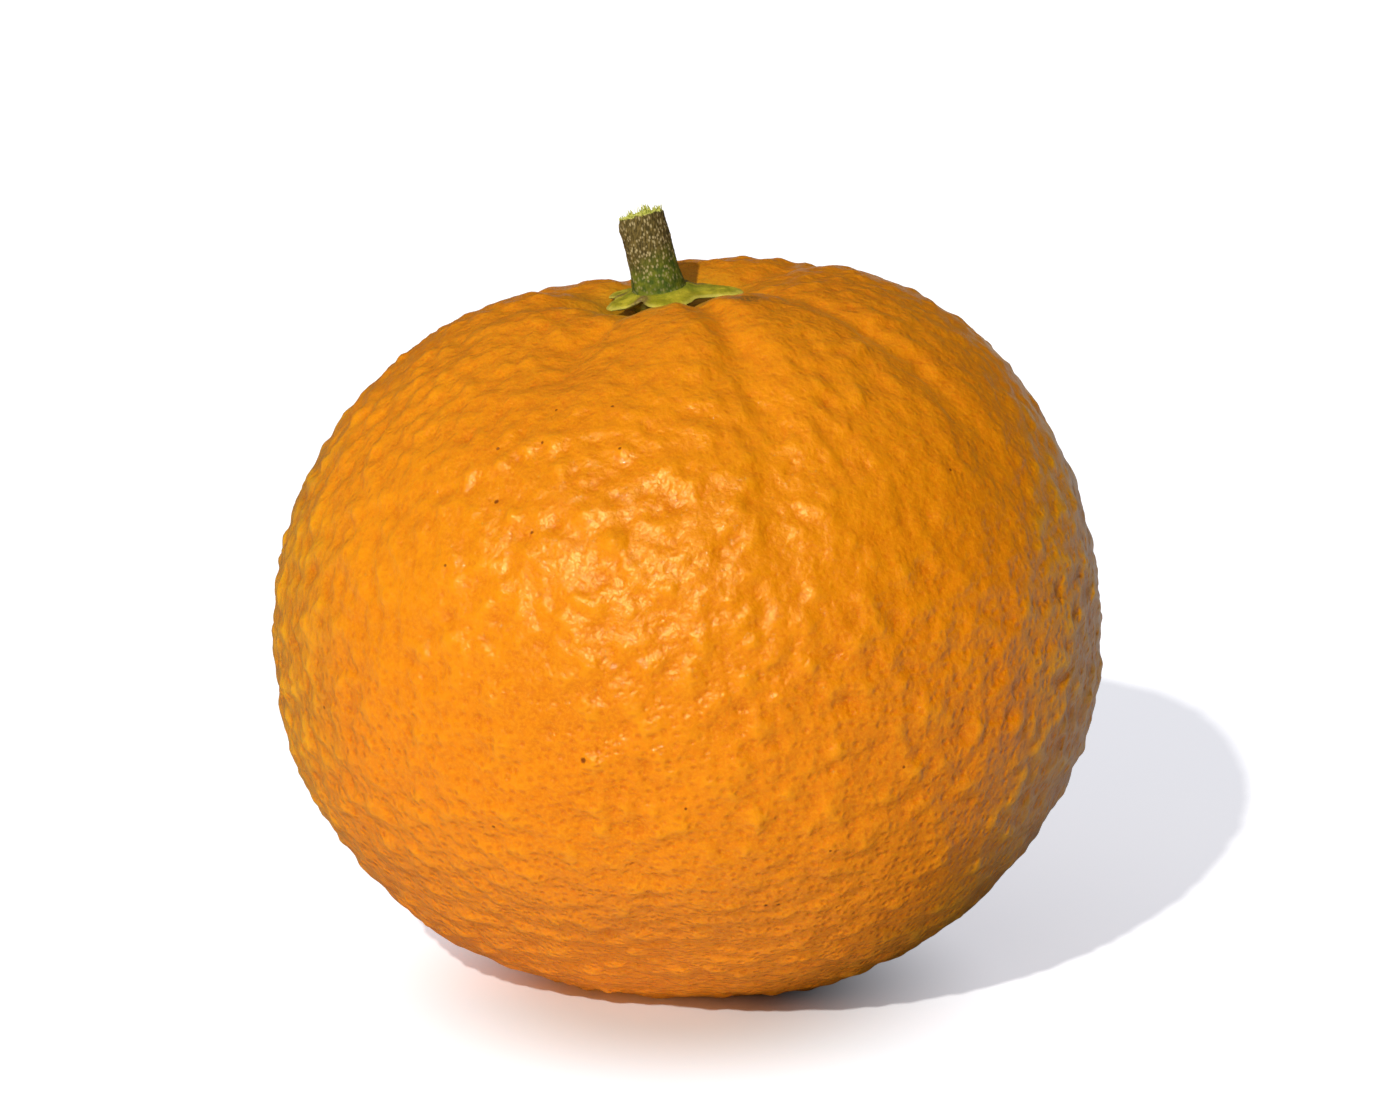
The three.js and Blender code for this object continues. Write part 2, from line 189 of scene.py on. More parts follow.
def cells(p, seed, jitter=0.9):
    """Distance to the nearest and second nearest scattered point, one point per unit cell."""
    i = np.floor(p).astype(np.int64)
    best = np.full(len(p), 9.0)
    second = np.full(len(p), 9.0)
    for dx in (-1, 0, 1):
        for dy in (-1, 0, 1):
            for dz in (-1, 0, 1):
                c = i + [dx, dy, dz]
                h = _hash(c[:, 0] + 4096, c[:, 1] + 4096, c[:, 2] + 4096, seed)
                pt = c + 0.5 + jitter * (np.stack([_unit(h, 0), _unit(h, 10), _unit(h, 20)], 1) - 0.5)
                d = np.linalg.norm(p - pt, axis=1)
                nearer = d < best
                second = np.where(nearer, best, np.minimum(second, d))
                best = np.where(nearer, d, best)
    return best, second


def smooth(a, b, x):
    t = np.clip((x - a) / (b - a), 0, 1)
    return t * t * (3 - 2 * t)


# ------------------------------------------------------------------ meshes
def make_object(name, verts_mm, faces, attributes=None):
    me = bpy.data.meshes.new(name)
    me.from_pydata((verts_mm * 0.001).tolist(), [], [list(map(int, f)) for f in faces])
    me.update()
    me.shade_smooth()
    for key, values in (attributes or {}).items():
        a = me.attributes.new(key, "FLOAT", "POINT")
        a.data.foreach_set("value", np.asarray(values, np.float32))
    o = bpy.data.objects.new(name, me)
    bpy.context.scene.collection.objects.link(o)
    return o


def cube_sphere(n):
    """Unit directions and quads of a cube blown up to a sphere, outward."""
    a = np.tan(np.linspace(-1, 1, n + 1) * math.pi / 4)
    u, v = np.meshgrid(a, a, indexing="ij")
    one = np.ones_like(u)
    sides = [(one, u, v), (-one, v, u), (v, one, u), (u, -one, v), (u, v, one), (v, u, -one)]
    pts, quads = [], []
    k = np.arange((n + 1) ** 2).reshape(n + 1, n + 1)
    for s, (x, y, z) in enumerate(sides):
        pts.append(np.stack([x, y, z], -1).reshape(-1, 3))
        b = k + s * (n + 1) ** 2
        quads.append(np.stack([b[:-1, :-1], b[1:, :-1], b[1:, 1:], b[:-1, 1:]], -1).reshape(-1, 4))
    pts, quads = np.concatenate(pts), np.concatenate(quads)
    _, first, back = np.unique(np.round(pts * 1e6).astype(np.int64), axis=0, return_index=True, return_inverse=True)
    pts, quads = pts[first], back.reshape(-1)[quads]
    return pts / np.linalg.norm(pts, axis=1, keepdims=True), quads


# ---- fruit
def scatter(count, seed, jitter):
    """Evenly scattered unit directions: a golden spiral, each point nudged."""
    rng = np.random.RandomState(seed)
    k = np.arange(count) + 0.5
    z = 1 - 2 * k / count
    a = k * math.pi * (3 - math.sqrt(5))
    d = np.stack([np.cos(a) * np.sqrt(1 - z * z), np.sin(a) * np.sqrt(1 - z * z), z], 1)
    d += rng.normal(0, jitter * math.sqrt(4 * math.pi / count), d.shape)
    return d / np.linalg.norm(d, axis=1, keepdims=True), rng


def tangents(n):
    """Unit vectors along the ring and along the meridian at directions n."""
    ring = np.stack([-n[:, 1], n[:, 0], 0 * n[:, 0]], 1)
    ring /= np.linalg.norm(ring, axis=1, keepdims=True) + 1e-9
    return ring, np.cross(n, ring)


def stamp(tree, p, centres, dirs, height, along_ring, along_meridian):
    """Sum of soft bumps, one at each centre, over the points p."""
    ring, mer = tangents(dirs)
    total = np.zeros(len(p))
    for c, e1, e2, h, s1, s2 in zip(centres, ring, mer, height, along_ring, along_meridian):
        near = [i for _, i, _ in tree.find_range(c, 2.6 * max(s1, s2))]
        if near:
            v = p[near] - c
            total[near] += h * np.exp(-((v @ e1) / s1) ** 2 - ((v @ e2) / s2) ** 2)
    return total


def surface(n):
    return n * peel_radius(n)[:, None]


SPECKS = [  # small dark marks: place on the peel (mm) and radius
    (-17.7, -23.8, 60.2, 0.20), (-18.0, -28.3, 56.2, 0.26), (-13.1, -25.4, 61.1, 0.16), (-5.9, -28.4, 61.2, 0.20),
    (-6.8, -23.8, 64.2, 0.18), (-12.4, -22.0, 63.3, 0.16), (-14.2, -32.1, 54.1, 0.18), (-22.5, -29.7, 50.3, 0.20),
    (-9.2, -39.1, 34.1, 0.34), (-18.2, -34.3, 25.3, 0.20), (0.1, -39.7, 29.4, 0.16), (-34.9, -20.7, 33.3, 0.24),
    (13.6, -36.1, 24.1, 0.16), (7.3, -34.4, 16.8, 0.20), (9.3, -33.8, 16.6, 0.22), (20.7, -34.6, 31.9, 0.18),
    (-0.4, -30.7, 11.0, 0.15), (24.9, -22.8, 57.9, 0.18),
]


def build_fruit():
    n, quads = cube_sphere(128)
    # turned so that no corner of the cube faces the front or the top
    t = math.radians(35)
    turn = np.array([[math.cos(t), -math.sin(t), 0], [math.sin(t), math.cos(t), 0], [0, 0, 1]])
    cube = n.copy()
    n = n @ turn.T
    p = surface(n)
    w = to_world(p)
    # normals of the smooth shape
    e = 0.004
    a = np.cross(n, np.where(np.abs(n[:, 2:3]) < 0.9, [[0, 0, 1.0]], [[1.0, 0, 0]]))
    a /= np.linalg.norm(a, axis=1, keepdims=True)
    b = np.cross(n, a)

    def at(m):
        return surface(m / np.linalg.norm(m, axis=1, keepdims=True))
    nrm = np.cross(at(n + e * a) - at(n - e * a), at(n + e * b) - at(n - e * b))
    nrm /= np.linalg.norm(nrm, axis=1, keepdims=True)
    nrm *= np.sign((nrm * n).sum(1))[:, None]
    nw = nrm @ R_FRUIT

    from mathutils.kdtree import KDTree
    tree = KDTree(len(p))
    for i, c in enumerate(p.tolist()):
        tree.insert(c, i)
    tree.balance()

    def coarse_at(d):
        """How strong the relief is: calmer on the right shoulder, the top and the back."""
        w_ = to_world(surface(d))
        calm = np.maximum(smooth(2, 28, w_[:, 0]) * smooth(34, 56, w_[:, 2]), 0.5 * smooth(0, 30, w_[:, 1]))
        return 1.42 - 0.62 * np.maximum(calm, 0.9 * smooth(60, 68, w_[:, 2]))
    polar = np.degrees(np.arccos(np.clip(n[:, 2], -1, 1)))
    coarse = coarse_at(n)

    # broad waves
    h = 0.26 * noise(w / 13, 1) + 0.13 * noise(w / 7.0, 2)
    h += 0.15 * coarse * (1 - 0.35 * smooth(92, 126, polar)) * noise(p / [5.2, 5.2, 3.8], 3)

    def spread(count, seed, jitter, radius, height):
        """Soft bumps scattered over the peel, drawn out along the rings low down."""
        d, rng = scatter(count, seed, jitter)
        low = smooth(92, 126, np.degrees(np.arccos(np.clip(d[:, 2], -1, 1))))
        r = rng.uniform(radius[0], radius[1], count)
        t = (height[0] + height[1] * rng.uniform(0, 1, count) ** 1.5) * coarse_at(d)
        return stamp(tree, p, surface(d), d, t * (1 - 0.40 * low), r * (1 + 0.30 * low), r)
    knobs = spread(2900, 21, 0.34, (0.78, 1.05), (0.08, 0.21))
    knobs += spread(5200, 23, 0.28, (0.62, 0.80), (0.07, 0.11))
    hollows = spread(4200, 22, 0.30, (0.60, 0.80), (0.07, 0.17))
    h += knobs - hollows
    h -= h.mean()
    # calm under the calyx
    s = np.hypot(p[:, 0] - 1.73, p[:, 1] - 1.5)
    up = n[:, 2] > 0
    h *= np.where(up, 0.20 + 0.80 * smooth(5.0, 11.0, s), 1.0)
    # a moat round the calyx, where its lobes stand clear of the peel
    h -= np.where(up, 0.55 * np.exp(-((s - 4.4) / 1.3) ** 2), 0)
    w = w + nw * h[:, None]
    # the flat it rests on, and the little scar of the blossom end in it
    w[:, 2] = np.maximum(w[:, 2], 0.0)
    tip = to_world(np.array([[0, 0, -37.0]]))[0]
    dd = np.hypot(w[:, 0] - tip[0], w[:, 1] - tip[1])
    w[:, 2] += np.where(w[:, 2] < 3.0, 0.55 * np.exp(-(dd / 1.5) ** 2) + 0.12 * np.exp(-((dd - 2.6) / 0.7) ** 2), 0)

    high = np.clip(0.5 + 1.25 * (knobs - hollows - (knobs - hollows).mean()), 0, 1)
    crown = np.where(up, smooth(12.0, 3.5, s + 0.8 * noise(w / 2.0, 40)), 0)
    # Flank mask: yellower at the left and right edges and along the top's far rim, fading towards the back; partly the
    # peel's own tone, partly painted sheen along the edges seen from the front.
    patch = noise(w / 7.0, 41) + 0.5 * noise(w / 2.6, 42)
    flank = smooth(24.5, 33.0, 0.8 * w[:, 0] - 0.45 * (w[:, 2] - 36) + 2.4 * patch)
    flank = np.maximum(flank, smooth(30.5, 38.0, w[:, 0] + 2.2 * patch)) + 0.9 * smooth(-31.5, -38.5, w[:, 0] + 2.2 * patch)
    flank = flank * (1 - 0.6 * smooth(2.0, 24.0, w[:, 1]))
    flank += 0.35 * np.where(up, smooth(8.0, 26.0, w[:, 1]), 0)
    tipness = smooth(9.0, 2.0, dd) * (w[:, 2] < 3.0)
    o = make_object("orange_peel", w, quads, {"high": high, "crown": crown, "flank": np.clip(flank, 0, 1),
                                              "low": smooth(62, 96, polar), "tip": tipness})
    # even coordinates over the six sides of the cube, in mm, for the oil glands
    me = o.data
    side = quads.shape[0] // 6
    face = np.repeat(np.arange(6), side)
    m = cube[quads]
    axis = np.array([0, 0, 1, 1, 2, 2])[face]
    ua = np.array([1, 1, 0, 0, 0, 0])[face]
    va = np.array([2, 2, 2, 2, 1, 1])[face]
    idx = np.arange(len(quads))
    major = m[idx, :, axis]
    u = np.arctan(m[idx, :, ua] / np.abs(major)) * 40.0 + 90.0 * face[:, None]
    v = np.arctan(m[idx, :, va] / np.abs(major)) * 40.0 + 37.0 * face[:, None]
    att = me.attributes.new("gland_uv", "FLOAT_VECTOR", "CORNER")
    att.data.foreach_set("vector", np.stack([u, v, 0 * u], -1).reshape(-1).astype(np.float32))
    # the specks sit on the surface as it came out
    world_tree = KDTree(len(w))
    for i, c in enumerate(w.tolist()):
        world_tree.insert(c, i)
    world_tree.balance()
    marks = [(tuple(world_tree.find((x, y, z))[0]), r) for x, y, z, r in SPECKS]
    scar = tuple(world_tree.find((5.6, -8.1, 70.9))[0])
    return o, marks, scar


# ---- calyx
CX, CY, CTOP = 1.73, 1.5, 33.13
LOBES = [(-155, 5.7, 24, 0.35), (-73, 5.7, 33, 0.30), (-11, 8.3, 21, 0.62), (75, 6.2, 24, 0.25), (142, 6.0, 23, 0.35)]
NOTCH = 3.75


def build_calyx():
    sides, rings = 300, 60
    az = np.arange(sides) * 360.0 / sides
    reach = np.full(sides, NOTCH)
    droop = np.zeros(sides)
    rib = np.zeros(sides)
    lobe = np.zeros(sides)
    for a, r, half, d in LOBES:
        t = (az - a + 180) % 360 - 180
        k = np.exp(-(np.abs(t) / half) ** 2.4)
        reach += (r - NOTCH) * k
        droop += d * k
        rib += np.exp(-(t / 7.0) ** 2)
        lobe += k
    rnd = noise(np.stack([np.cos(np.radians(az)) * 4, np.sin(np.radians(az)) * 4, az * 0], 1), 11)
    fine = noise(np.stack([np.cos(np.radians(az)) * 13, np.sin(np.radians(az)) * 13, az * 0], 1), 12)
    reach = reach + 0.16 * rnd + 0.07 * fine - 0.55 * np.exp(-((az - 241) / 9.0) ** 2)
    lobe = np.clip(lobe, 0, 1)
    t = (np.arange(1, rings + 1) / rings)[:, None]
    rho = t * reach[None, :]
    c, s_ = np.cos(np.radians(az))[None, :], np.sin(np.radians(az))[None, :]
    x, y = CX + rho * c, CY + rho * s_
    flat = np.stack([x, y, 0 * x], -1).reshape(-1, 3)
    wave = (0.10 * noise(flat / 1.7, 13) + 0.035 * noise(flat / 0.55, 14)).reshape(x.shape)
    top = CTOP - droop * t ** 3 + 0.42 * smooth(3.9, 2.7, rho) + wave
    top += 0.10 * rib * smooth(2.6, 3.6, rho) * (1 - t ** 4)
    top += 0.10 * lobe * np.sin(np.clip((rho - 2.6) / (reach - 2.6 + 1e-6), 0, 1) * math.pi)
    # corky little wart in each notch
    bare = smooth(0.55, 0.20, lobe)
    notch = bare * smooth(0.72, 0.95, t)
    top += 0.16 * notch
    # thick in the middle, where it has grown onto the peel
    core = smooth(3.4, 2.4, rho)
    thick = 0.95 - 0.45 * t ** 2 + 1.5 * core
    rim = np.sqrt(np.clip(1 - t ** 9, 0, 1))
    peel = peel_height(x, y)
    low = np.maximum(top - thick, peel + 0.06 - 0.45 * core)
    top = np.maximum(top, low + 0.40)
    mid = (top + low) / 2
    top_z, low_z = mid + (top - mid) * rim, mid - (mid - low) * rim
    pts = [np.array([[CX, CY, CTOP + 0.4], [CX, CY, CTOP - 0.9]]),
           np.stack([x, y, top_z], -1).reshape(-1, 3), np.stack([x, y, low_z], -1).reshape(-1, 3)]
    i = np.arange(sides)
    j = (i + 1) % sides
    T, B = 2, 2 + rings * sides
    faces = [np.stack([np.zeros(sides, int), T + i, T + j], 1), np.stack([np.ones(sides, int), B + j, B + i], 1)]
    quads = []
    for k in range(rings - 1):
        quads.append(np.stack([T + k * sides + i, T + (k + 1) * sides + i, T + (k + 1) * sides + j, T + k * sides + j], 1))
        quads.append(np.stack([B + k * sides + i, B + k * sides + j, B + (k + 1) * sides + j, B + (k + 1) * sides + i], 1))
    last = (rings - 1) * sides
    quads.append(np.stack([T + last + i, B + last + i, B + last + j, T + last + j], 1))
    faces = [list(f) for a in faces for f in a] + [list(f) for a in quads for f in a]
    allp = np.concatenate(pts)
    cork = np.concatenate([[0, 0], np.tile((bare * smooth(0.55, 0.85, t)).reshape(-1), 2)])
    edge = np.concatenate([[0, 0], np.tile((t + 0 * reach).reshape(-1), 2)])
    # marks the calyx's underside, which the material paints darker as shade under the lobes
    under = np.concatenate([[0, 1], np.zeros(rings * sides), np.ones(rings * sides)])
    return make_object("calyx_star", to_world(allp), faces, {"cork": cork, "edge": edge, "under": under})


# ---- stem
STEM_LEN = 7.6
STEM_LEAN = math.radians(13.5) - LEAN


def build_stem():
    rng = np.random.RandomState(7)
    sides, rings = 180, 150
    axis = np.array([-math.sin(STEM_LEAN), 0, math.cos(STEM_LEAN)])
    foot = np.array([CX, CY, CTOP + 0.05])
    a = np.arange(sides) * 2 * math.pi / sides
    t = np.linspace(0, 1, rings)[:, None]
    length = STEM_LEN + 0.30
    r = np.where(t < 0.55, 2.72 + (2.42 - 2.72) * smooth(0, 0.4, t), 2.42 + (2.3 - 2.42) * (t - 0.55) / 0.45)
    r = r + 0.35 * np.exp(-(t / 0.035) ** 2)
    r = r + 0.05 * np.sin(5 * a + 0.6) + 0.05 * np.sin(3 * a + 2.1)
    r = r + 0.16 * np.exp(-(((t - 0.86) / 0.1) ** 2)) * np.maximum(0, np.cos(a - math.pi))
    h = t * length + 0 * a
    cyl = np.stack([np.cos(a) * 2.4 + 0 * t, np.sin(a) * 2.4 + 0 * t, h], -1).reshape(-1, 3)
    bark = smooth(2.0, 4.9, h + 0.6 * noise(cyl / 1.1, 30).reshape(h.shape) - 0.9 * np.cos(a))
    grain = noise(cyl * [1 / 0.28, 1 / 0.28, 1 / 1.7], 31).reshape(h.shape)
    grit = noise(cyl / [0.22, 0.22, 0.34], 32).reshape(h.shape)
    lump = noise(cyl / 1.3, 33).reshape(h.shape)
    f1, f2 = cells(cyl * [1 / 0.27, 1 / 0.27, 1 / 0.48], 34)
    lent = smooth(0.42, 0.18, f1).reshape(h.shape)
    r = r + 0.05 * lump + bark * (0.045 * grain + 0.03 * grit + 0.04 * lent) + (1 - bark) * (0.02 * grain + 0.02 * lent)
    # ragged upper rim, lower on the left where the skin was torn
    ragged = 0.22 * noise(np.stack([np.cos(a) * 5, np.sin(a) * 5, 0 * a], 1), 35) + 0.10 * noise(np.stack([np.cos(a) * 14, np.sin(a) * 14, 0 * a], 1), 36)
    ragged = ragged - 0.30 * smooth(0.80, 1.0, np.cos(a - math.pi)) - 0.42 * np.sin(a)
    h = h + smooth(0.82, 1.0, t) * ragged
    r = 0.97 * r * (1 - 0.05 * smooth(0.97, 1.0, t))
    tilt = STEM_LEAN * t

    def place(rr, ang, hh, tl):
        c = foot + axis * hh[..., None]
        return c + np.stack([rr * np.cos(ang) * np.cos(tl), rr * np.sin(ang), rr * np.cos(ang) * np.sin(tl)], -1)
    body = place(r, a + 0 * t, h, tilt + 0 * a).reshape(-1, 3)
    # cut end: rings inwards over a rough, slightly domed face
    caps, cap_h = [], []
    inner = 14
    for k in range(1, inner):
        q = 1 - k / inner
        rr = r[-1] * q
        pc = np.stack([np.cos(a) * rr, np.sin(a) * rr, 0 * a], 1)
        hh = h[-1] * q ** 3 + (length + 0.02) * (1 - q ** 3) + 0.16 * noise(pc / 0.35, 37) + 0.12 * noise(pc / 0.9, 38) * (1 - q)
        caps.append(place(rr, a, hh, np.full(sides, STEM_LEAN)))
        cap_h.append(hh)
    top_c = (foot + axis * (length + 0.05))[None]
    foot_c = (foot - axis * 0.0)[None]
    verts = [foot_c, body, np.concatenate(caps), top_c]
    cut = [np.zeros(1), np.repeat(smooth(0.985, 1.0, t[:, 0]), sides), np.ones(sides * (inner - 1)), np.ones(1)]
    height = [np.zeros(1), np.repeat(t[:, 0], sides), np.ones(sides * (inner - 1)), np.ones(1)]
    lentv = [np.zeros(1), lent.reshape(-1), np.zeros(sides * (inner - 1)), np.zeros(1)]
    barkv = [np.zeros(1), bark.reshape(-1), np.ones(sides * (inner - 1)), np.ones(1)]
    i = np.arange(sides)
    j = (i + 1) % sides
    faces = [[0, int(1 + y), int(1 + x)] for x, y in zip(i, j)]
    total = rings + inner - 1
    for k in range(total - 1):
        b0, b1 = 1 + k * sides, 1 + (k + 1) * sides
        faces += np.stack([b0 + i, b0 + j, b1 + j, b1 + i], 1).tolist()
    last = 1 + total * sides
    faces += [[int(last), int(last - sides + x), int(last - sides + y)] for x, y in zip(i, j)]
    count = last + 1
    # torn fibres that stand out of the cut end
    fibres = 130
    for k in range(fibres):
        ang = rng.uniform(0, 2 * math.pi)
        rad = 2.12 * math.sqrt(rng.uniform(0.25, 1.0))
        tall = rng.uniform(0.25, 0.62) * (1.0 + 0.55 * math.exp(-((ang - 0.9) % (2 * math.pi)) ** 2))
        thin = rng.uniform(0.035, 0.085)
        lean = rng.normal(0, 0.30, 2)
        base = foot + axis * (length - 0.18 - 0.2 * rad * math.sin(ang) / 2.1 - 0.3 * smooth(0.75, 1.0, np.array(math.cos(ang - math.pi)))) \
            + np.array([rad * math.cos(ang) * math.cos(STEM_LEAN), rad * math.sin(ang), rad * math.cos(ang) * math.sin(STEM_LEAN)])
        ring_pts = []
        for lvl, (f, wd) in enumerate([(0, 1.0), (0.45, 0.8), (0.8, 0.5)]):
            c = base + axis * (tall + 0.18) * f + np.array([lean[0], lean[1], 0]) * (f ** 1.6) * tall
            for m in range(5):
                b = 2 * math.pi * m / 5 + k
                ring_pts.append(c + thin * wd * np.array([math.cos(b), math.sin(b) * 0.7, 0]))
        tipp = base + axis * (tall + 0.18) + np.array([lean[0], lean[1], 0]) * tall
        verts.append(np.array(ring_pts + [tipp, base]))
        for lvl in (0, 1):
            for m in range(5):
                q = (m + 1) % 5
                faces.append([count + lvl * 5 + m, count + lvl * 5 + q, count + lvl * 5 + 5 + q, count + lvl * 5 + 5 + m])
        for m in range(5):
            q = (m + 1) % 5
            faces.append([count + 10 + m, count + 10 + q, count + 15])
            faces.append([count + q, count + m, count + 16])
        cut.append(np.ones(17))
        height.append(np.full(17, 1.2))
        lentv.append(np.zeros(17))
        barkv.append(np.ones(17))
        count += 17
    allp = np.concatenate(verts)
    return make_object("stem_stub", to_world(allp), faces,
                       {"cut": np.concatenate(cut), "height": np.concatenate(height),
                        "lent": np.concatenate(lentv), "bark": np.concatenate(barkv)})


fruit, MARKS, SCAR = build_fruit()
calyx = build_calyx()
stem = build_stem()

# --------------------------------------------------------------- materials
def srgb(r, g, b):
    return tuple(((v / 255) / 12.92 if v / 255 <= 0.04045 else ((v / 255 + 0.055) / 1.055) ** 2.4) for v in (r, g, b)) + (1.0,)


class Nodes:
    """Short hand for building a node tree."""

    def __init__(self, name):
        self.mat = bpy.data.materials.new(name)
        self.mat.use_nodes = True
        self.tree = self.mat.node_tree
        self.tree.nodes.clear()
        self.out = self.add("ShaderNodeOutputMaterial")
        self.bsdf = self.add("ShaderNodeBsdfPrincipled")
        self.link(self.bsdf.outputs[0], self.out.inputs[0])

    def add(self, kind, **props):
        n = self.tree.nodes.new(kind)
        for k, v in props.items():
            setattr(n, k, v)
        return n

    def link(self, a, b):
        self.tree.links.new(a, b)

    def put(self, socket, value):
        if isinstance(value, bpy.types.NodeSocket):
            self.link(value, socket)
        else:
            socket.default_value = value

    def math(self, op, a, b=None, c=None, clamp=False):
        n = self.add("ShaderNodeMath", operation=op, use_clamp=clamp)
        self.put(n.inputs[0], a)
        if b is not None:
            self.put(n.inputs[1], b)
        if c is not None:
            self.put(n.inputs[2], c)
        return n.outputs[0]

    def vec(self, op, a, b=None, scale=None):
        n = self.add("ShaderNodeVectorMath", operation=op)
        self.put(n.inputs[0], a)
        if b is not None:
            self.put(n.inputs[1], b)
        if scale is not None:
            n.inputs["Scale"].default_value = scale
        return n.outputs["Value"] if op in ("DISTANCE", "DOT_PRODUCT", "LENGTH") else n.outputs[0]

    def ramp(self, x, a, b, lo=0.0, hi=1.0):
        n = self.add("ShaderNodeMapRange", interpolation_type="SMOOTHSTEP")
        self.put(n.inputs["Value"], x)
        n.inputs["From Min"].default_value = a
        n.inputs["From Max"].default_value = b
        n.inputs["To Min"].default_value = lo
        n.inputs["To Max"].default_value = hi
        return n.outputs[0]

    def mix(self, f, a, b, kind="MIX"):
        n = self.add("ShaderNodeMix", data_type="RGBA", blend_type=kind)
        self.put(n.inputs["Factor"], f)
        self.put([s for s in n.inputs if s.name == "A" and s.type == "RGBA"][0], a)
        self.put([s for s in n.inputs if s.name == "B" and s.type == "RGBA"][0], b)
        return [s for s in n.outputs if s.type == "RGBA"][0]

    def noise(self, v, scale, detail=2.0, rough=0.5, distortion=0.0):
        n = self.add("ShaderNodeTexNoise")
        self.put(n.inputs["Vector"], v)
        n.inputs["Scale"].default_value = scale
        n.inputs["Detail"].default_value = detail
        n.inputs["Roughness"].default_value = rough
        n.inputs["Distortion"].default_value = distortion
        return n.outputs[0]

    def voronoi(self, v, scale, feature="F1", randomness=1.0, smoothness=None):
        n = self.add("ShaderNodeTexVoronoi", feature=feature)
        self.put(n.inputs["Vector"], v)
        n.inputs["Scale"].default_value = scale
        n.inputs["Randomness"].default_value = randomness
        if smoothness is not None:
            n.inputs["Smoothness"].default_value = smoothness
        return n

    def attribute(self, name):
        return self.add("ShaderNodeAttribute", attribute_name=name).outputs["Fac"]

    def millimetres(self):
        tc = self.add("ShaderNodeTexCoord")
        return self.vec("SCALE", tc.outputs["Object"], scale=1000.0)

    def bump(self, height, mm, strength=1.0, normal=None):
        n = self.add("ShaderNodeBump")
        n.inputs["Strength"].default_value = strength
        n.inputs["Distance"].default_value = mm * 0.001
        self.put(n.inputs["Height"], height)
        if normal is not None:
            self.link(normal, n.inputs["Normal"])
        return n.outputs[0]


